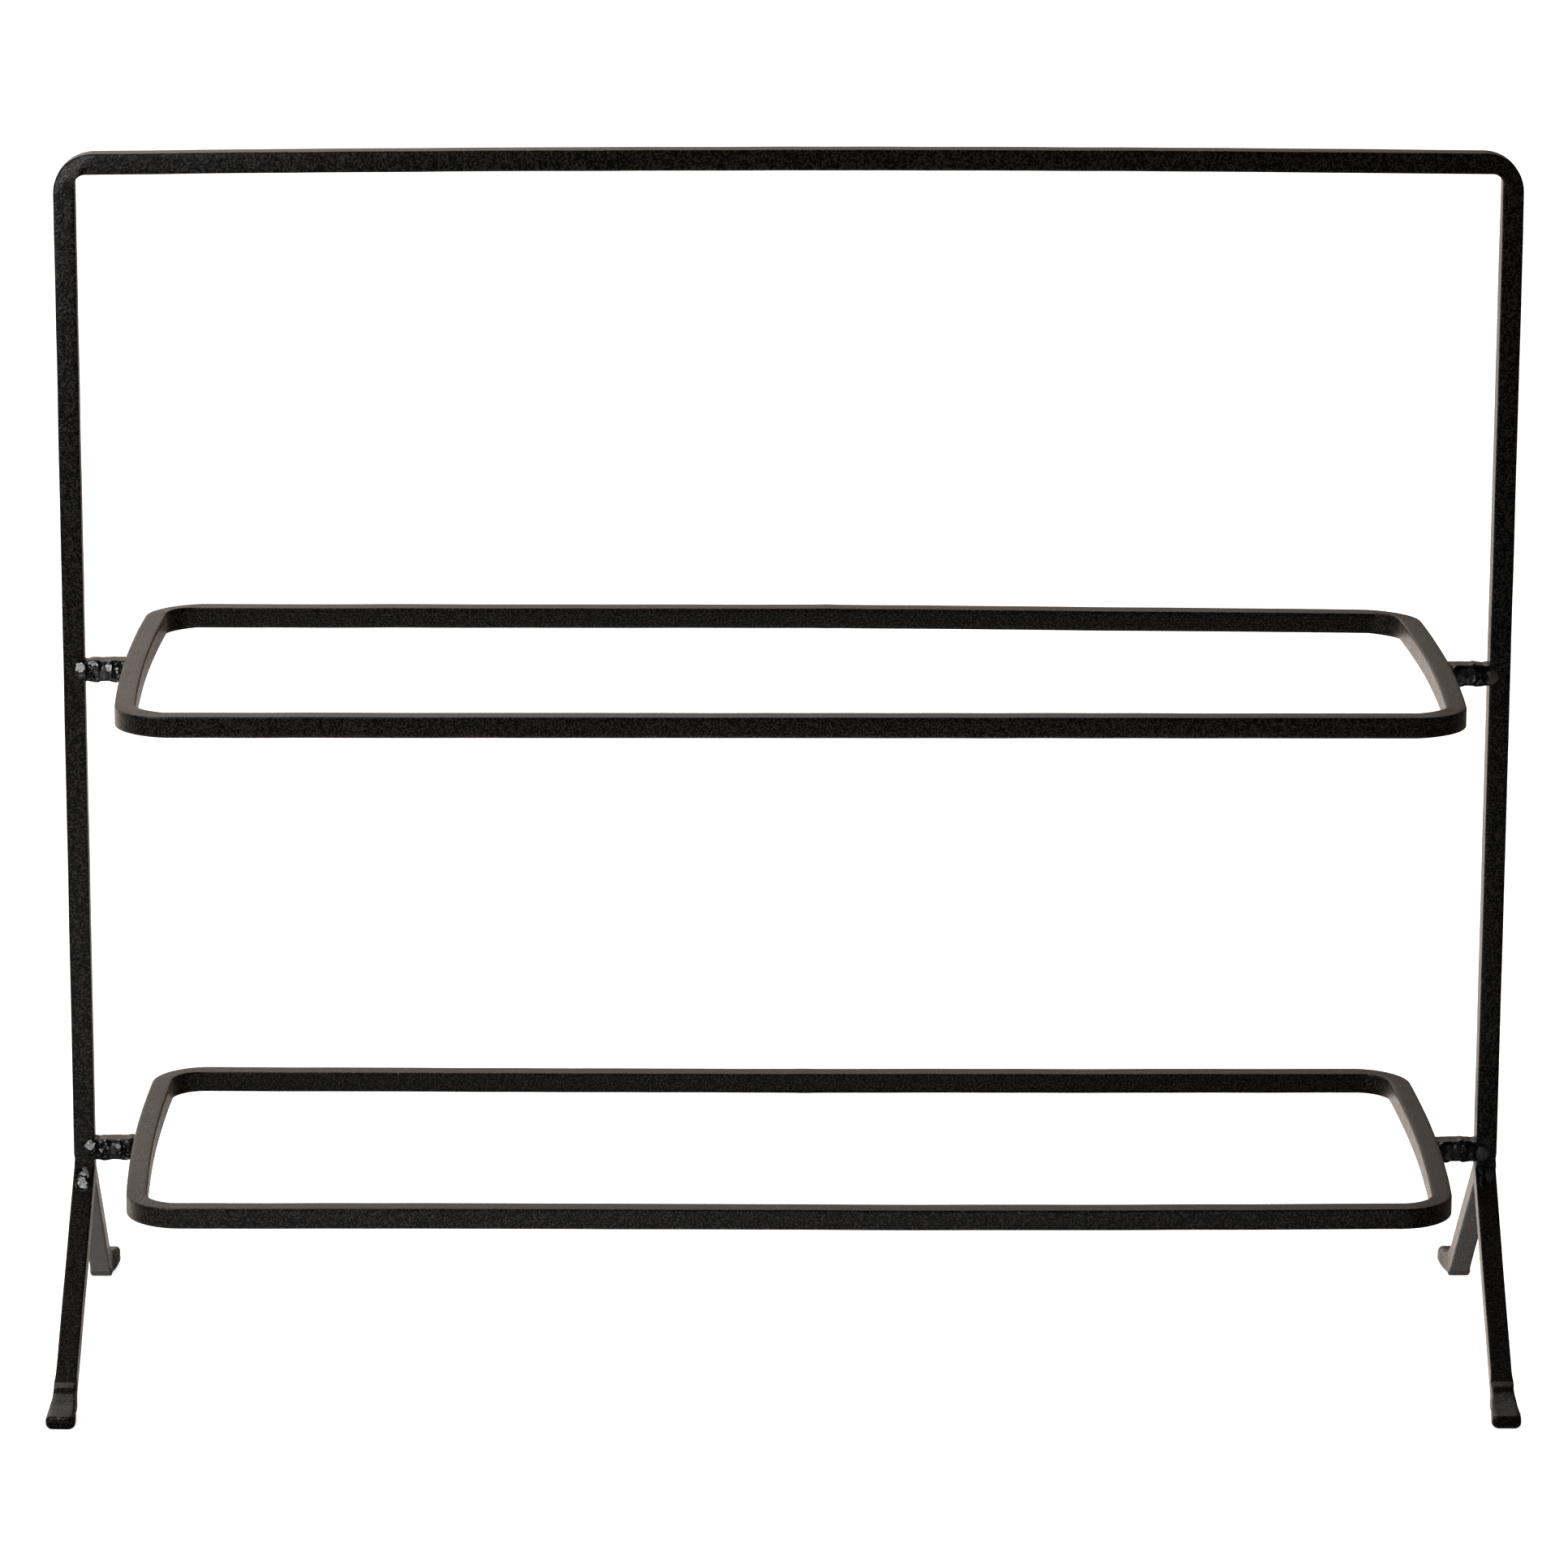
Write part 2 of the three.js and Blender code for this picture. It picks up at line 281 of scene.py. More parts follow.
def powder_coat():
    """Satin black powder coat: fine sandy grain that glints, over a faint orange peel."""
    material, nodes, links, shader, where = new_material("powder_coat")
    shader.inputs["Specular IOR Level"].default_value = POWDER_SPECULAR
    shader.inputs["Sheen Weight"].default_value = POWDER_SHEEN
    shader.inputs["Sheen Roughness"].default_value = POWDER_SHEEN_ROUGHNESS
    shader.inputs["Sheen Tint"].default_value = POWDER_SHEEN_TINT
    grain = noise_node(nodes, links, where, GRAIN_SIZE, 3)
    peel = noise_node(nodes, links, where, PEEL_SIZE, 1)
    mottle = noise_node(nodes, links, where, MOTTLE_SIZE, 4)
    tones = [(SPECK_START, POWDER_COLOUR), (SPECK_FULL, SPECK_COLOUR)]
    specks = range_node(nodes, links, grain, SPECK_START, SPECK_FULL, 0, 1)
    gloss = range_node(nodes, links, mottle, *MID_NOISE, *POWDER_ROUGHNESS)
    peeled = bump_node(nodes, links, peel, PEEL_DEPTH)
    links.new(ramp_node(nodes, links, grain, tones), shader.inputs["Base Color"])
    links.new(specks, shader.inputs["Metallic"])
    links.new(gloss, shader.inputs["Roughness"])
    links.new(bump_node(nodes, links, grain, GRAIN_DEPTH, peeled), shader.inputs["Normal"])
    return material


def weld_coat():
    """The same coat over weld metal: glossier, except where the vertices say it is dull."""
    material, nodes, links, shader, where = new_material("weld_coat")
    shader.inputs["Specular IOR Level"].default_value = WELD_SPECULAR
    dull = nodes.new("ShaderNodeAttribute")
    dull.attribute_name = "dull"
    ripple = streak_node(nodes, links, where, WELD_RIPPLE_SIZE)
    lump = noise_node(nodes, links, where, WELD_LUMP_SIZE, 2)
    tones = [(0.0, WELD_COLOUR), (1.0, DULL_WELD_COLOUR)]
    links.new(ramp_node(nodes, links, dull.outputs["Fac"], tones), shader.inputs["Base Color"])
    gloss = range_node(nodes, links, lump, *MID_NOISE, *WELD_ROUGHNESS)
    matte = nodes.new("ShaderNodeMath")
    matte.operation = "MULTIPLY_ADD"
    links.new(dull.outputs["Fac"], matte.inputs[0])
    matte.inputs[1].default_value = DULL_EXTRA_ROUGHNESS
    links.new(gloss, matte.inputs[2])
    links.new(matte.outputs["Value"], shader.inputs["Roughness"])
    lumps = bump_node(nodes, links, lump, WELD_LUMP_DEPTH)
    rippled = bump_node(nodes, links, ripple, WELD_RIPPLE_DEPTH, lumps)
    links.new(rippled, shader.inputs["Normal"])
    return material


POWDER_COAT = powder_coat()
WELD_COAT = weld_coat()


# --- Pieces ------------------------------------------------------------------------------


def place(name, mesh, material, *nodes):
    """Puts a finished mesh in the scene, in place of its CAD nodes."""
    piece = bpy.data.objects.new(name, mesh)
    bpy.context.scene.collection.objects.link(piece)
    mesh.materials.append(material)
    mesh.shade_smooth()
    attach(piece, "root")
    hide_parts(*nodes)
    return piece


def mesh_of(name, points, faces):
    """A closed mesh in metres, from points in millimetres, with its faces turned outwards."""
    mesh = bpy.data.meshes.new(name)
    points = np.clip(points, CAD_LOW, CAD_HIGH)
    mesh.from_pydata([tuple(p) for p in points * MM], [], faces)
    shape = bmesh.new()
    shape.from_mesh(mesh)
    bmesh.ops.recalc_face_normals(shape, faces=shape.faces)
    shape.to_mesh(mesh)
    shape.free()
    return mesh


def bar_section(edge_steps, side_steps):
    """A square with round edges: rows of the two sides' shares and the two edge directions."""
    corners = [(1, 1), (-1, 1), (-1, -1), (1, -1)]
    rows = []
    for turn, (a, b) in enumerate(corners):
        for step in range(edge_steps + 1):
            angle = math.pi / 2 * (turn + step / edge_steps)
            rows.append((a, b, math.cos(angle), math.sin(angle)))
        next_a, next_b = corners[(turn + 1) % 4]
        for step in range(1, side_steps):
            along = step / side_steps
            side = (a + (next_a - a) * along, b + (next_b - b) * along)
            rows.append((*side, rows[-1][2], rows[-1][3]))
    return np.array(rows)


def loft(outer, inner, across, bulge, edge=EDGE, section=(4, 5)):
    """Sections between two matched outlines in a plane, and as wide as given across it.

    The bulge widens a section towards the inner outline and thins it towards the outer one, as
    a cold bend does.
    Returns stations x section points x (two in the plane, one across it).
    """
    rows = bar_section(*section)
    middle = (outer + inner) / 2
    half = np.linalg.norm(outer - inner, axis=1) / 2
    towards = (outer - inner) / (2 * half[:, None])
    edge = np.broadcast_to(edge, half.shape)
    depth = np.outer(half - edge, rows[:, 0]) + np.outer(edge, rows[:, 2])
    width = np.outer(across - edge, rows[:, 1]) + np.outer(edge, rows[:, 3])
    inward = (1 - depth / half[:, None]) / 2
    uneven = inward**2 - BEND_THINNING * (1 - inward) ** 2
    width = width * (1 + (bulge / across)[:, None] * uneven)
    flat = middle[:, None, :] + towards[:, None, :] * depth[:, :, None]
    return np.concatenate([flat, width[:, :, None]], axis=2)


def loft_faces(stations, around, closed):
    """The quads between neighbouring sections, and the two end caps of an open loft."""
    faces = []
    for i in range(stations if closed else stations - 1):
        j = (i + 1) % stations
        for k in range(around):
            m = (k + 1) % around
            faces.append((i * around + k, i * around + m, j * around + m, j * around + k))
    if not closed:
        faces.append(tuple(range(around)))
        faces.append(tuple((stations - 1) * around + k for k in reversed(range(around))))
    return faces


def bar_mesh(name, solid, closed):
    """The mesh of a loft whose stations are already in the frame."""
    stations, around, _ = solid.shape
    mesh = mesh_of(name, solid.reshape(-1, 3), loft_faces(stations, around, closed))
    mesh.shade_smooth()
    mesh.set_sharp_from_angle(angle=math.radians(50))
    return mesh


def roughened(solid, depth, size, seed):
    """The stations with every point moved a little, each axis by its own noise."""
    points = solid.reshape(-1, 3)
    moved = np.stack([wander(points, size, seed + axis) for axis in range(3)], axis=1)
    return (points + depth * moved).reshape(solid.shape)


def line(start, end, steps):
    """Points from start up to, but not including, end."""
    t = np.arange(steps)[:, None] / steps
    return np.array(start) * (1 - t) + np.array(end) * t


def arc(centre, radius, start, end, steps):
    """Points on an arc from one angle, in degrees, up to but not including the other."""
    angles = np.radians(start + (end - start) * np.arange(steps) / steps)
    return np.array(centre) + radius * np.stack([np.cos(angles), np.sin(angles)], axis=1)


# --- The arch ----------------------------------------------------------------------------


def arch_outline(side, top, radius, steps):
    """Up the left post, over the top and down the right one."""
    rise = top - radius
    run = side - radius
    post_steps, top_steps = steps
    return np.concatenate(
        [
            line((-side, POST_END), (-side, rise), post_steps),
            arc((-run, rise), radius, 180, 90, BEND_STEPS),
            line((-run, top), (run, top), top_steps),
            arc((run, rise), radius, 90, 0, BEND_STEPS),
            line((side, rise), (side, POST_END), post_steps),
            [(side, POST_END)],
        ]
    )


def bend_shares(counts):
    """For stretches of straight, bend, straight..., how far into a bend each station is."""
    shares = []
    for index, count in enumerate(counts):
        bend = index % 2 == 1
        middle = np.sin(np.pi * np.arange(count) / count) if bend else np.zeros(count)
        shares.append(middle)
    return np.concatenate(shares)


def arch_piece():
    """The posts and the crowned top bar, as one bar bent twice and set a little out of true."""
    steps = (round((TOP - POST_END) / STEP), round(2 * ARCH_OUTER / STEP))
    outer = arch_outline(ARCH_OUTER, TOP, ARCH_OUTER_RADIUS, steps)
    inner = arch_outline(ARCH_INNER, TOP - BAR, ARCH_INNER_RADIUS, steps)
    counts = [steps[0], BEND_STEPS, steps[1], BEND_STEPS, steps[0] + 1]
    bends = bend_shares(counts)
    bulge = bends * np.where(outer[:, 0] < 0, *ARCH_BULGES)
    solid = loft(outer, inner, np.full(len(outer), HALF), bulge)
    x, z, across = solid[..., 0], solid[..., 1], solid[..., 2]
    crown = TOP_CROWN * (1 - (x / ARCH_INNER) ** 2).clip(0, 1)
    tilt = ARCH_TILT * x / ARCH_OUTER - ARCH_DROP
    lift = crown * share(z, TOP - 2 * BAR, TOP - BAR) + tilt * share(z, POST_END, TOP)
    neck = NECK * hump(z, ARCH_LOW[2], NECK_REACH) * np.sign(np.abs(x) - POST_X)
    x = x - np.sign(x) * neck * (np.abs(x) > POST_X - BAR)
    below_bend = 1 - share(z, TOP - 6 * BAR, TOP - BAR)
    twist = RIGHT_POST_TWIST * below_bend * (x > POST_X - BAR)
    x, y = x + twist * across, twist * (x - POST_X) - across
    solid = np.stack([x, y, z + lift], axis=2)
    solid = roughened(solid, COAT_WAVE, COAT_WAVE_SIZE, 3)
    place("arch", bar_mesh("arch", solid, False), POWDER_COAT, "arch_frame")


# --- The rings ---------------------------------------------------------------------------


def ring_outline(x, y, radius, bow, skews, steps):
    """A rectangle with round corners and bowed ends, from the front bar's left end.

    The skews are how much further out the left and right front corners reach, and the rear
    ones less."""
    long_steps, short_steps = steps
    run, rise = x - radius, y - radius

    def end(sign, start, stop):
        t = np.arange(short_steps) / short_steps
        reach = x + 4 * bow * t * (1 - t)
        return np.stack([sign * reach, start + (stop - start) * t], axis=1)

    outline = np.concatenate(
        [
            line((-run, -y), (run, -y), long_steps),
            arc((run, -rise), radius, -90, 0, BEND_STEPS),
            end(1, -rise, rise),
            arc((run, rise), radius, 0, 90, BEND_STEPS),
            line((run, y), (-run, y), long_steps),
            arc((-run, rise), radius, 90, 180, BEND_STEPS),
            end(-1, rise, -rise),
            arc((-run, -rise), radius, 180, 270, BEND_STEPS),
        ]
    )
    across, back = outline[:, 0] / x, outline[:, 1] / y
    outline[:, 0] -= np.where(across < 0, skews[0], skews[1]) * across * back
    return outline


def ring_piece(level, bulge, skews, butt_weld, settle, seed):
    """One ring, closed by a ground butt weld in its back bar. Its settle gives how far its
    points drop or rise, as it was set by hand."""
    node = f"{level}_ring"
    low, high = box_mm(node)
    x, y = high[0] - RING_END_BOW, high[1]
    steps = (round(2 * x / STEP), round(2 * y / STEP))
    outer = ring_outline(x, y, RING_OUTER_RADIUS, RING_END_BOW, skews, steps)
    inner = ring_outline(x - BAR, y - BAR, RING_INNER_RADIUS, RING_END_BOW, skews, steps)
    counts = [steps[0], BEND_STEPS, steps[1], BEND_STEPS] * 2
    bends = bend_shares(counts)
    solid = loft(outer, inner, np.full(len(outer), HALF), bulge * bends)
    height = (low[2] + high[2]) / 2
    at_back = share(solid[..., 1], 0, y - BAR)
    swell = 1 + BUTT_WELD_SWELL * hump(solid[..., 0], butt_weld, BUTT_WELD_REACH) * at_back
    solid[..., 2] = solid[..., 2] * swell + height + settle(solid[..., 0], solid[..., 1])
    solid = roughened(solid, COAT_WAVE, COAT_WAVE_SIZE, seed)
    place(f"{level}_ring_bar", bar_mesh(node, solid, True), POWDER_COAT, node)


def rearward(y):
    """0 at a ring's front bar and 1 at its back bar."""
    return ((y / RING_DEPTH + 1) / 2).clip(0, 1)


def upper_settle(x, y):
    """The back bar droops to the right of its butt weld, and the right end tilts with it."""
    droop = ((x - UPPER_DROOP_START) / UPPER_DROOP_RUN).clip(0, UPPER_DROOP_MOST)
    return -UPPER_DROOP * droop * rearward(y)


def lower_settle(x, y):
    """The front bar sags a little right of its middle, and the back left corner stands high."""
    front = LOWER_LIFT - LOWER_SAG * hump(x, LOWER_SAG_AT, LOWER_SAG_REACH)
    back = (-x / LOWER_CORNER_RUN).clip(0, 1)
    return front * (1 - rearward(y)) + back * rearward(y)


# --- The legs ----------------------------------------------------------------------------


def profile(out, knots):
    """Height at each distance out, along lines between (out, height) knots, a little rounded."""
    at, height = zip(*knots)
    shifts = np.linspace(-KNOT_SOFTNESS, KNOT_SOFTNESS, 9)
    return np.mean([np.interp(out + shift, at, height) for shift in shifts], axis=0)


def rounding(out, radius):
    """How far a round end of this radius has fallen away, going out to the toe's tip."""
    into = (out - (TOE_TIP - radius)).clip(0, radius)
    return radius - np.sqrt(radius**2 - into**2)


def leg_top(out, extra):
    """Height of a leg's upper side: the slope, the forged ledge and step, the hollow toe."""
    slope = APEX_HEIGHT - FALL * out
    forged = profile(out, TOE_TOP) + extra * share(out, TOE_TOP[1][0], REAR_TOE_FULL)
    return np.where(out < TOE_TOP[0][0], slope, forged) - rounding(out, NOSE_TOP_RADIUS)


def leg_bottom(out):
    """Height of its lower side: the slope, the round heel, the flat sole and the nose."""
    slope = FALL * (HEEL - out)
    round_heel = 0.5 * (slope + np.sqrt(slope**2 + HEEL_SOFTNESS))
    sole = round_heel - 0.5 * math.sqrt(HEEL_SOFTNESS) * share(out, HEEL_BEGINS, HEEL)
    height = np.where(out < HEEL_BEGINS, slope, sole.clip(0, None))
    return height + rounding(out, NOSE_SOLE_RADIUS)


def leg_half_width(out):
    """The bar's own, a swelling at the ledge, then the flare and the round front corners."""
    swelling = LEDGE_SWELLING * hump(out, TOE_TOP[0][0], LEDGE_REACH)
    flare = (TOE_WIDTH - BAR) / 2 * ((out - FLARE_START) / (FLARE_END - FLARE_START)).clip(0, 1)
    return HALF + swelling + flare - rounding(out, NOSE_CORNER_RADIUS)


def leg_piece(side, face, sign, facing, seed):
    """A leg: mitred under the post, straight to the heel, then forged to a flat toe."""
    node = f"{side}_{face}_leg"
    straight = np.arange(MITRE_GAP, FORGING, STEP)
    forged = np.arange(FORGING, TOE_TIP - NOSE_LENGTH, FORGED_STEP)
    nose = TOE_TIP - NOSE_LENGTH * (1 - np.sin(np.linspace(0, math.pi / 2, NOSE_STATIONS)))
    out = np.concatenate([straight, forged, nose])
    top = leg_top(out, REAR_TOE_EXTRA if face == "rear" else 0)
    outer = np.stack([out, top], axis=1)
    inner = np.stack([out, leg_bottom(out)], axis=1)
    edge = EDGE + (TOE_EDGE - EDGE) * share(out, HEEL_BEGINS, HEEL + 4)
    edge = edge + (NOSE_EDGE - TOE_EDGE) * share(out, NOSE_EDGE_START, NOSE_EDGE_END)
    edge = np.minimum(edge, 0.45 * (top - leg_bottom(out)))
    solid = loft(outer, inner, leg_half_width(out), np.zeros(len(out)), edge, (5, 8))
    on_toe = share(solid[..., 0], HEEL_BEGINS, HEEL + 1) * share(solid[..., 1], 1, 4)
    marked = roughened(solid, HAMMER_MARK, HAMMER_MARK_SIZE, seed)
    solid = solid + (marked - solid) * on_toe[..., None]
    waved = roughened(solid, COAT_WAVE, COAT_WAVE_SIZE, seed + 5)
    solid = solid + (waved - solid) * share(solid[..., 1], 0.5, 6)[..., None]
    turn = math.radians(LEG_TURNS.get(node, 0))
    inward = REAR_TOE_SHIFT * share(solid[..., 0], HEEL - 2, TOE_TIP - 2) if face == "rear" else 0
    solid[..., 2] = solid[..., 2] - sign * facing * inward
    heading = np.array([math.sin(turn), math.cos(turn)])
    x = sign * POST_X + facing * (solid[..., 0] * -heading[0] + solid[..., 2] * heading[1])
    y = facing * (solid[..., 0] * heading[1] + solid[..., 2] * heading[0])
    solid = np.stack([x, y, solid[..., 1]], axis=2)
    place(f"{side}_{face}_leg_bar", bar_mesh(node, solid, False), POWDER_COAT, node)


# --- The stubs ---------------------------------------------------------------------------


def stub_piece(level, side, sign, drop, bites, seed):
    """The short bar between a ring and a post, its upper front edge eaten away by the welds."""
    node = f"{level}_{side}_stub"
    low, high = box_mm(node)
    height = (low[2] + high[2]) / 2
    length = high[0] - low[0]
    along = np.linspace(-STUB_OVERLAP, length + STUB_OVERLAP, STUB_STATIONS)
    outer = np.stack([along, np.full(len(along), HALF)], axis=1)
    inner = np.stack([along, np.full(len(along), -HALF)], axis=1)
    solid = loft(outer, inner, np.full(len(along), HALF), np.zeros(len(along)), section=(4, 14))
    u, up, across = solid[..., 0], solid[..., 1], solid[..., 2]
    near_top_front = share(up, 1, HALF) * share(-across, -1, HALF)
    for at, reach, depth in bites:
        up = up - depth * hump(u, at, reach) * (0.35 + 0.65 * near_top_front) * share(up, 0, HALF)
    solid = np.stack([u, up, across], axis=2)
    solid = roughened(solid, STUB_WAVE, STUB_WAVE_SIZE, seed)
    x = sign * (ARCH_INNER - solid[..., 0])
    solid = np.stack([x, solid[..., 2], solid[..., 1] + height - drop], axis=2)
    place(f"{level}_{side}_stub_bar", bar_mesh(node, solid, False), POWDER_COAT, node)


# --- The weld beads ----------------------------------------------------------------------


def blob(shape, centre, axes):
    """Adds an ellipsoid with these three half axes."""
    matrix = Matrix([*zip(*axes)]).to_4x4()
    matrix.translation = Vector(centre)
    bmesh.ops.create_icosphere(shape, subdivisions=4, radius=1, matrix=matrix)


def fused(name, shape):
    """The blobs as one skin, with its points and normals in millimetres."""
    rough = bpy.data.meshes.new(f"{name}_blobs")
    shape.to_mesh(rough)
    shape.free()
    holder = bpy.data.objects.new(f"{name}_blobs", rough)
    bpy.context.scene.collection.objects.link(holder)
    remesh = holder.modifiers.new("fuse", "REMESH")
    remesh.mode = "VOXEL"
    remesh.voxel_size = BEAD_VOXEL
    smooth = holder.modifiers.new("soften", "SMOOTH")
    smooth.iterations = 3
    depsgraph = bpy.context.evaluated_depsgraph_get()
    mesh = bpy.data.meshes.new_from_object(holder.evaluated_get(depsgraph))
    mesh.name = name
    bpy.data.objects.remove(holder)
    bpy.data.meshes.remove(rough)
    return mesh


def read_mesh(mesh):
    """A mesh's points and normals as arrays."""
    count = len(mesh.vertices)
    points, normals = np.zeros(count * 3), np.zeros(count * 3)
    mesh.vertices.foreach_get("co", points)
    mesh.vertices.foreach_get("normal", normals)
    return points.reshape(-1, 3), normals.reshape(-1, 3)


def finish_bead(name, mesh, points, dullness, node):
    """Writes the shaped points back in metres, and how dull each one is."""
    points = np.clip(points, CAD_LOW, CAD_HIGH)
    mesh.vertices.foreach_set("co", (points * MM).ravel())
    attribute = mesh.attributes.new("dull", "FLOAT", "POINT")
    attribute.data.foreach_set("value", dullness.astype(np.float32))
    mesh.update()
    place(name, mesh, WELD_COAT, node)


def lumpy(points, ripple, lump, seed):
    """How far to push each point out, as a column, for fine ripples and broader lumps."""
    fine = ripple * wander(points, BEAD_RIPPLE_SIZE, seed)
    return (fine + lump * wander(points, BEAD_LUMP_SIZE, seed + 1))[:, None]


def flattened(points, normals, spots, facing):
    """The points with a flat struck on the skin at each spot, (x, z, radius), tilted up and
    to the left of the way it faces."""
    ragged = 1 + 0.35 * wander(points, 1.3, len(spots))
    for x, z, radius in spots:
        upward = FLAT_TILT[2] - FLAT_TILT_FALL * z * MM
        tilt = np.array(Vector((FLAT_TILT[0], facing * FLAT_TILT[1], upward)).normalized())
        outward = share(normals @ tilt, 0.1, 0.4)
        distance = np.hypot(points[:, 0] - x, points[:, 2] - z) * ragged
        middle = points[(distance < 0.5 * radius) & (outward > 0.5)]
        if len(middle) == 0:
            continue
        height = (points - middle.mean(axis=0)) @ tilt + FLAT_DEPTH
        weight = outward * (1 - share(distance, 0.75 * radius, 1.05 * radius))
        points = points - (weight * height)[:, None] * tilt
    return points


def stub_bead(node, sign, facing, height, lobes, hollows, flats, seed):
    """A bead on a stub's face. Its parts are placed along the stub from the post's inner face,
    and up from the bar's middle: lobes (along, up, half length, half height, proud, dull),
    hollows (along, up, half length, half height, depth) and flats (along, up, radius)."""
    shape = bmesh.new()
    for along, up, length, tall, proud, _ in lobes:
        centre = (sign * (ARCH_INNER - along), facing * (HALF - BEAD_ROOT), height + up)
        axes = [(length, 0, 0), (0, proud + BEAD_ROOT, 0), (0, 0, tall)]
        blob(shape, centre, axes)
    mesh = fused(node, shape)
    points, normals = read_mesh(mesh)
    along = ARCH_INNER - sign * points[:, 0]
    up = points[:, 2] - height
    outward = np.maximum(0, normals[:, 1] * facing)
    points = points + normals * lumpy(points, STUB_BEAD_RIPPLE, STUB_BEAD_LUMP, seed)
    for at, level, length, tall, depth in hollows:
        distance = np.hypot((along - at) / length, (up - level) / tall)
        rim = CRATER_RIM * hump(distance, CRATER_RIM_AT, CRATER_RIM_REACH)
        pit = np.exp(-(distance**4)) * depth - rim
        points[:, 1] -= facing * pit * outward
    spots = [(sign * (ARCH_INNER - at), height + level, radius) for at, level, radius in flats]
    points = flattened(points, normals, spots, facing)
    dullness = np.zeros(len(points))
    for at, level, length, tall, _, dull in lobes:
        distance = np.hypot((along - at) / length, (up - level) / tall)
        dullness = np.maximum(dullness, dull * (1 - share(distance, 0.75, 1.0)))
    finish_bead(f"{node}_bead", mesh, points, dullness, node)


def leg_bead(node, sign, facing, lobes, flats, seed):
    """The bead between a post's end and a leg. Lobes lie on the leg's upper face:
    (across from the post's middle, outwards, half width, half length, proud, dull), and
    flats on the lobes: (across, outwards, radius)."""
    shape = bmesh.new()
    slope = Vector((0, facing * math.cos(LEG_SLOPE), -math.sin(LEG_SLOPE)))
    upward = Vector((0, facing * math.sin(LEG_SLOPE), math.cos(LEG_SLOPE)))
    for across, out, wide, length, proud, _ in lobes:
        surface = Vector((sign * POST_X + across, facing * out, APEX_HEIGHT - FALL * out))
        centre = surface - upward * BEAD_ROOT
        blob(shape, centre, [(wide, 0, 0), slope * length, upward * (proud + BEAD_ROOT)])
    mesh = fused(node, shape)
    points, normals = read_mesh(mesh)
    dullness = np.zeros(len(points))
    for across, out, wide, length, _, dull in lobes:
        centre = (sign * POST_X + across, facing * out)
        distance = np.hypot((points[:, 0] - centre[0]) / wide, (points[:, 1] - centre[1]) / length)
        dullness = np.maximum(dullness, dull * (1 - share(distance, 0.7, 1.0)))
    points = points + normals * lumpy(points, LEG_BEAD_RIPPLE, LEG_BEAD_LUMP, seed)
    spots = [
        (sign * POST_X + across, APEX_HEIGHT - FALL * out + 1, radius) for across, out, radius in flats
    ]
    finish_bead(f"{node}_bead", mesh, flattened(points, normals, spots, facing), dullness, node)


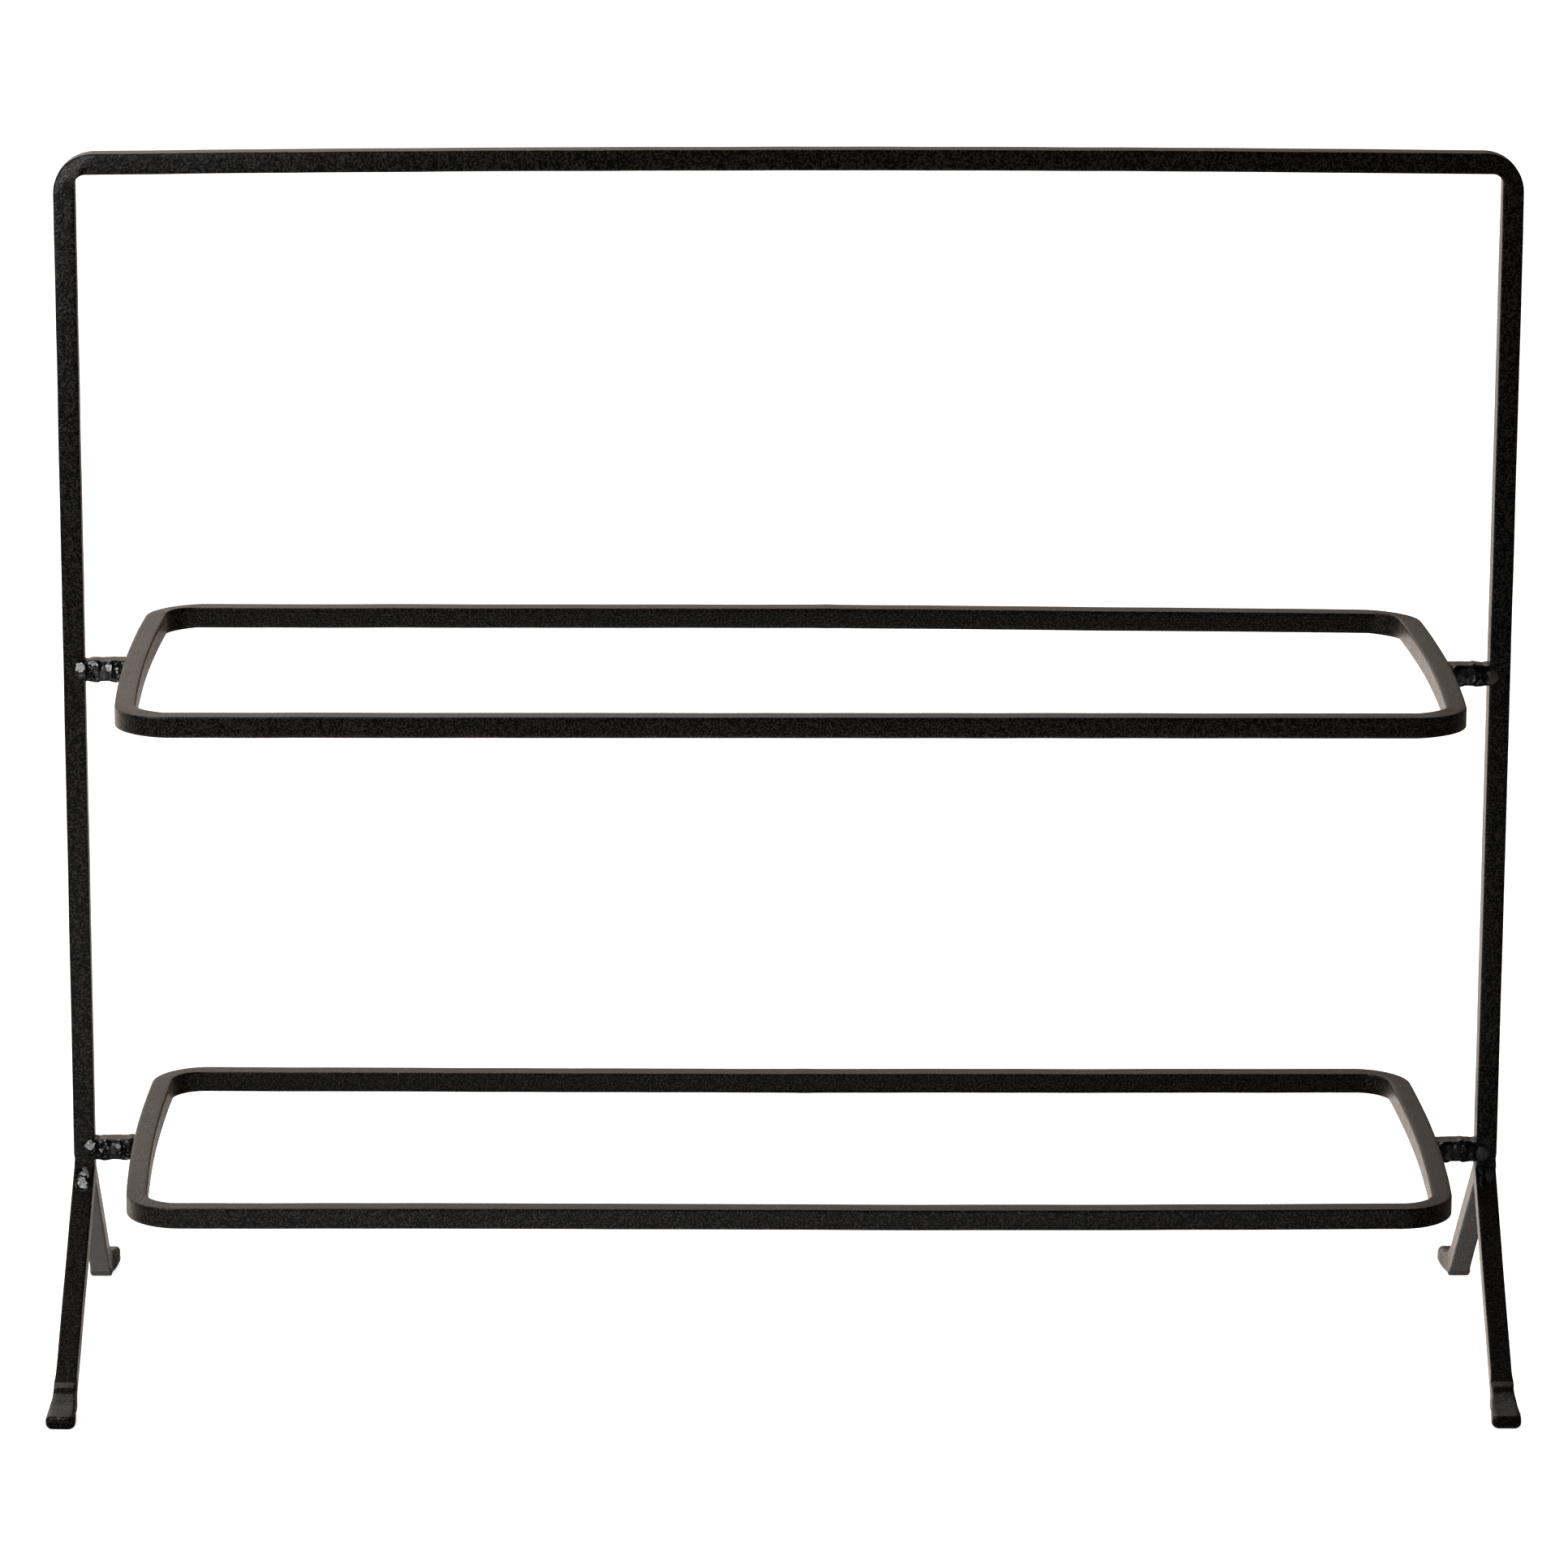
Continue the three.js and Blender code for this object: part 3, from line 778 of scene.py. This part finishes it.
# The front beads that end each stub, as they were laid by hand: at the post, then at the ring.
# The three lists of each are its lobes, its hollows and its flats.
FRONT_BEADS = {
    "upper_left": {
        "post": (
            [
                (-1.3, 0.1, 4.1, 4.8, 2.6, 0),
                (5.0, 0.0, 6.5, 5.5, 0.9, 0),
                (3.0, -0.2, 3.4, 4.6, 1.3, 0),
                (6.2, 0.6, 2.6, 4.3, 1.6, 0),
            ],
            [(2.2, -0.8, 1.3, 2.4, 1.7), (5.6, -1.0, 1.6, 2.6, 1.1)],
            [(-1.7, 2.0, 2.9), (2.9, 0.2, 0.9), (5.8, 3.2, 0.9)],
        ),
        "ring": (
            [
                (9.0, -0.6, 2.2, 4.2, 1.2, 0.8),
                (14.5, 0.0, 6.5, 5.5, 0.9, 0),
                (12.2, 0.8, 3.0, 4.3, 2.2, 0),
                (16.0, -0.4, 2.6, 4.6, 2.6, 0),
                (18.6, 0.0, 2.0, 4.4, 3.2, 0),
            ],
            [(14.2, -1.5, 1.0, 2.2, 1.2), (17.6, 1.2, 0.9, 1.7, 1.5)],
            [(11.6, 2.0, 2.2), (15.4, 0.2, 0.8), (16.2, -1.9, 0.8)],
        ),
    },
    "upper_right": {
        "post": (
            [
                (-1.2, -0.5, 3.9, 4.1, 1.6, 1),
                (5.0, 0.0, 6.5, 5.5, 0.9, 0),
                (3.6, -0.3, 3.2, 4.4, 1.4, 0),
                (6.6, 0.3, 2.6, 4.6, 1.5, 0),
            ],
            [(1.6, -0.6, 1.5, 2.0, 2.0), (5.4, -0.2, 1.0, 1.4, 1.2)],
            [(-0.4, 3.6, 1.0), (3.2, -1.0, 0.7)],
        ),
        "ring": (
            [
                (9.6, -0.4, 2.6, 4.3, 1.4, 0.5),
                (14.5, 0.0, 6.5, 5.5, 0.9, 0),
                (13.0, -0.4, 3.0, 4.3, 2.0, 0.8),
                (16.8, 0.2, 3.0, 4.6, 2.9, 0.2),
            ],
            [(11.0, 1.2, 1.2, 1.6, 1.1), (14.6, -1.4, 1.2, 1.8, 1.4)],
            [(8.9, 3.2, 0.9)],
        ),
    },
    "lower_left": {
        "post": (
            [
                (-1.2, 1.0, 4.2, 4.7, 2.6, 0),
                (5.0, 0.0, 6.5, 5.5, 0.9, 0),
                (2.4, -0.2, 3.4, 4.5, 1.6, 0),
                (6.0, 0.3, 2.6, 4.2, 1.5, 0),
            ],
            [(1.9, 0.2, 1.1, 2.2, 1.9), (5.0, -1.2, 1.2, 2.0, 1.0)],
            [(-1.9, 2.6, 3.0), (3.2, 0.2, 1.5), (6.4, 1.5, 0.9)],
        ),
        "ring": (
            [
                (9.2, 0.0, 2.4, 4.2, 1.3, 0.3),
                (14.5, 0.0, 6.5, 5.5, 0.9, 0),
                (12.0, 0.6, 2.8, 4.4, 1.9, 0),
                (16.6, -0.2, 3.0, 4.8, 2.9, 0),
            ],
            [(13.8, -1.0, 1.0, 2.2, 1.2), (16.2, 1.0, 1.0, 2.0, 1.5)],
            [(11.2, 2.4, 1.8), (12.4, -1.0, 0.8)],
        ),
    },
    "lower_right": {
        "post": (
            [
                (-3.3, -0.6, 3.8, 3.9, 1.4, 0.8),
                (5.0, 0.0, 6.5, 5.5, 0.9, 0),
                (1.4, 0.0, 3.2, 4.4, 1.2, 0.1),
                (5.4, 0.2, 2.8, 4.4, 1.5, 0),
            ],
            [(3.2, 0.8, 1.2, 1.7, 1.2), (0.2, -1.6, 1.0, 1.4, 0.8)],
            [(-0.3, 3.6, 1.0), (0.2, -1.0, 0.6)],
        ),
        "ring": (
            [
                (9.2, 0.2, 2.6, 4.3, 1.5, 0.5),
                (14.5, 0.0, 6.5, 5.5, 0.9, 0),
                (13.0, -0.2, 3.0, 4.3, 1.9, 0.8),
                (16.8, 0.2, 2.9, 4.7, 3.0, 0.2),
            ],
            [(11.0, -1.2, 1.3, 2.0, 1.1), (15.2, 1.2, 1.0, 1.9, 1.4)],
            [(15.6, 3.2, 0.8)],
        ),
    },
}
REAR_BEAD = {
    "post": (
        [
            (-1.4, 0.2, 3.7, 4.1, 1.8, 0.3),
            (2.8, -0.6, 3.2, 4.0, 1.4, 0),
            (5.0, -0.9, 6.5, 4.7, 0.9, 0),
        ],
        [(1.9, 0.6, 1.2, 1.8, 1.2)],
        [(-1.8, 1.2, 1.6)],
    ),
    "ring": (
        [
            (13.4, -0.5, 2.8, 4.0, 1.8, 0.2),
            (17.0, -0.6, 2.9, 4.1, 2.8, 0.1),
            (14.5, -0.9, 6.5, 4.7, 0.9, 0),
        ],
        [(15.0, -0.8, 0.9, 1.6, 1.0)],
        [(13.0, 1.4, 1.3)],
    ),
}
# The beads between posts and legs: their lobes, and their flats.
LEG_BEADS = {
    "left_front": (
        [
            (-1.2, 1.8, 2.8, 2.4, 1.7, 0),
            (0.1, 8.9, 3.3, 3.2, 2.0, 0),
            (-0.5, 12.9, 3.6, 3.4, 1.9, 0),
            (1.8, 6.4, 2.4, 4.2, 0.7, 0.7),
        ],
        [(-1.2, 1.6, 1.6), (0.1, 8.6, 2.8), (-0.5, 12.7, 3.0)],
    ),
    "right_front": (
        [
            (-1.6, 5.0, 2.2, 4.6, 1.4, 0.1),
            (-1.8, 11.0, 1.9, 4.6, 1.2, 0),
            (1.8, 8.0, 2.6, 5.2, 0.7, 1),
        ],
        [(-1.8, 5.4, 0.6), (-1.6, 9.0, 0.6)],
    ),
    "rear": (
        [(-0.6, 4.6, 2.8, 3.6, 1.4, 0.2), (0.2, 10.0, 2.9, 3.8, 1.3, 0)],
        [(-0.8, 5.0, 1.6)],
    ),
}
STUB_DROPS = {"upper_left": 0.0, "upper_right": 1.9, "lower_left": 0.0, "lower_right": 1.1}
STUB_BITES = {
    "upper_left": [(0.9, 1.5, 2.2), (8.5, 2.5, 0.5)],
    "upper_right": [(3.0, 1.2, 0.8), (7.5, 1.2, -0.8)],
    "lower_left": [(2.4, 1.4, 0.9), (17.5, 1.5, -0.8)],
    "lower_right": [(2.2, 1.2, 0.6), (7.0, 1.3, -1.0)],
}


def build_joint(level, side, sign, seed):
    """The stub between a post and a ring, and its four beads."""
    joint = f"{level}_{side}"
    drop = STUB_DROPS[joint]
    stub_piece(level, side, sign, drop, STUB_BITES[joint], seed)
    low, high = box_mm(f"{joint}_stub")
    height = (low[2] + high[2]) / 2 - drop
    for end in ("post", "ring"):
        lobes, hollows, flats = FRONT_BEADS[joint][end]
        stub_bead(f"{joint}_{end}_weld_front", sign, -1, height, lobes, hollows, flats, seed + 20)
        lobes, hollows, flats = REAR_BEAD[end]
        stub_bead(f"{joint}_{end}_weld_rear", sign, 1, height, lobes, hollows, flats, seed + 40)
        seed += 3


def build_rack():
    arch_piece()
    ring_piece("upper", bulge=0.6, skews=(0.9, 2.6), butt_weld=20, settle=upper_settle, seed=11)
    ring_piece("lower", bulge=0.25, skews=(-0.3, 1.8), butt_weld=10, settle=lower_settle, seed=17)
    sides = [("left", -1), ("right", 1)]
    for index, (side, sign) in enumerate(sides):
        for level in ("upper", "lower"):
            build_joint(level, side, sign, 100 * index + (50 if level == "lower" else 0))
        for face, facing in (("front", -1), ("rear", 1)):
            leg_piece(side, face, sign, facing, 31 + 2 * index + facing)
            lobes, flats = LEG_BEADS.get(f"{side}_{face}", LEG_BEADS["rear"])
            leg_bead(f"{side}_leg_weld_{face}", sign, facing, lobes, flats, 71 + 5 * index + facing)


# --- The studio --------------------------------------------------------------------------

CAMERA_AT = (-0.04438, -3.4037, 1.16996)
CAMERA_PITCH = 0.2553  # downwards, in radians
CAMERA_YAW = -0.0126
CAMERA_ROLL = 0.0036
CAMERA_LENS = 168.98  # on a sensor 36 mm wide
KEY_AT = (-0.62, -0.70, 0.70)
KEY_SIZE = (0.3, 0.3)
KEY_POWER = 5.0
CARD_AT = (-0.20, -0.48, 0.01)  # a bounce card on the floor, in front
CARD_SIZE = (1.3, 0.28)
CARD_POWER = 2.4
SOLE_CARD_AT = (-0.20, -0.17, 0.002)  # and a narrow one, right before the toes
SOLE_CARD_SIZE = (0.7, 0.06)
SOLE_CARD_POWER = 0.24
SWEEP_COLOUR = (1.0, 0.89, 0.81)
UNDER_COLOUR = (0.72, 0.72, 0.71)
SWEEP_GLOW = 0.82
PANEL_GLOW = 2.8
ROOM_GLOW = 0.02
FLOOR_GLOW = 0.85
FLOOR_SIZE = 60
# Where the world's parts begin and end, by the direction looked in
SWEEP_FORWARD = (-0.45, 0.75)
PANEL_FORWARD = (0.05, 0.45)
PANEL_UPWARD = (0.55, 0.76)
UNDER_UPWARD = (-0.65, -0.35)
LEVEL_STEEPNESS = (0.17, 0.22)  # nearer the level than this, the glow fades further left
LEVEL_SHIFT = 0.22
FADE_RIGHTWARD = (-0.46, 0.10)
FADE_GLOW = (1.8, 0.05)


def camera():
    """The photo's viewpoint, as it was fitted to the rack's straight lines."""
    data = bpy.data.cameras.new("camera")
    data.lens = CAMERA_LENS
    data.sensor_width = 36
    data.clip_end = 200
    level = Vector((-math.sin(CAMERA_YAW), math.cos(CAMERA_YAW), 0))
    right = Vector((math.cos(CAMERA_YAW), math.sin(CAMERA_YAW), 0))
    forward = level * math.cos(CAMERA_PITCH) - Vector((0, 0, math.sin(CAMERA_PITCH)))
    up = level * math.sin(CAMERA_PITCH) + Vector((0, 0, math.cos(CAMERA_PITCH)))
    rolled_right = right * math.cos(CAMERA_ROLL) + up * math.sin(CAMERA_ROLL)
    rolled_up = up * math.cos(CAMERA_ROLL) - right * math.sin(CAMERA_ROLL)
    matrix = Matrix([*zip(rolled_right, rolled_up, -forward)]).to_4x4()
    matrix.translation = Vector(CAMERA_AT)
    holder = bpy.data.objects.new("camera", data)
    holder.matrix_world = matrix
    bpy.context.scene.collection.objects.link(holder)
    bpy.context.scene.camera = holder


def floor():
    """A pale floor that burns out to white, as the photo's does."""
    bpy.ops.mesh.primitive_plane_add(size=FLOOR_SIZE)
    plane = bpy.context.active_object
    plane.name = "floor"
    material, nodes, links, shader, where = new_material("pale_floor")
    shader.inputs["Base Color"].default_value = (0.93, 0.93, 0.93, 1)
    shader.inputs["Roughness"].default_value = 1
    shader.inputs["Specular IOR Level"].default_value = 0
    shader.inputs["Emission Color"].default_value = (1, 1, 1, 1)
    shader.inputs["Emission Strength"].default_value = FLOOR_GLOW
    plane.data.materials.append(material)
    plane.visible_glossy = False


def area_light(name, at, towards, size, power):
    """An oval lamp the camera can't see, of this width and depth."""
    data = bpy.data.lights.new(name, "AREA")
    data.shape = "ELLIPSE"
    data.size, data.size_y = size
    data.energy = power
    light = bpy.data.objects.new(name, data)
    light.visible_camera = False
    light.location = at
    light.rotation_mode = "QUATERNION"
    light.rotation_quaternion = (Vector(towards) - Vector(at)).to_track_quat("-Z", "Y")
    bpy.context.scene.collection.objects.link(light)


def mix_node(nodes, links, factor, low, high):
    """Between two outputs, by the factor."""
    mixed = nodes.new("ShaderNodeMix")
    for socket, output in (("Factor", factor), ("A", low), ("B", high)):
        links.new(output, mixed.inputs[socket])
    return mixed.outputs["Result"]


def studio():
    """A white sweep behind, a brighter panel over it, the room's dark in front, and three lamps."""
    world = bpy.data.worlds.new("studio")
    bpy.context.scene.world = world
    world.use_nodes = True
    nodes, links = world.node_tree.nodes, world.node_tree.links
    direction = nodes.new("ShaderNodeSeparateXYZ")
    links.new(nodes.new("ShaderNodeTexCoord").outputs["Generated"], direction.inputs[0])
    forward, upward = direction.outputs["Y"], direction.outputs["Z"]
    sweep = range_node(nodes, links, forward, *SWEEP_FORWARD, ROOM_GLOW, SWEEP_GLOW)
    panel = range_node(nodes, links, forward, *PANEL_FORWARD, ROOM_GLOW, PANEL_GLOW)
    high = range_node(nodes, links, upward, *PANEL_UPWARD, 0, 1)
    ahead = mix_node(nodes, links, high, sweep, panel)
    steepness = math_node(nodes, links, "ABSOLUTE", upward)
    steep = range_node(nodes, links, steepness, *LEVEL_STEEPNESS, 0, LEVEL_SHIFT)
    rightward = math_node(nodes, links, "SUBTRACT", direction.outputs["X"], steep)
    fade = range_node(nodes, links, rightward, *FADE_RIGHTWARD, *FADE_GLOW)
    background = nodes["Background"]
    under = range_node(nodes, links, upward, *UNDER_UPWARD, 0, 1)
    tones = [(0.0, UNDER_COLOUR), (1.0, SWEEP_COLOUR)]
    links.new(ramp_node(nodes, links, under, tones), background.inputs["Color"])
    glow = math_node(nodes, links, "MULTIPLY", ahead, fade)
    links.new(glow, background.inputs["Strength"])
    area_light("key", KEY_AT, (0, 0, 0.3), KEY_SIZE, KEY_POWER)
    for name, at, size, power in (
        ("card", CARD_AT, CARD_SIZE, CARD_POWER),
        ("sole_card", SOLE_CARD_AT, SOLE_CARD_SIZE, SOLE_CARD_POWER),
    ):
        area_light(name, at, (at[0], at[1], 1), size, power)
    bpy.context.scene.view_settings.view_transform = "Standard"


build_rack()
camera()
floor()
studio()
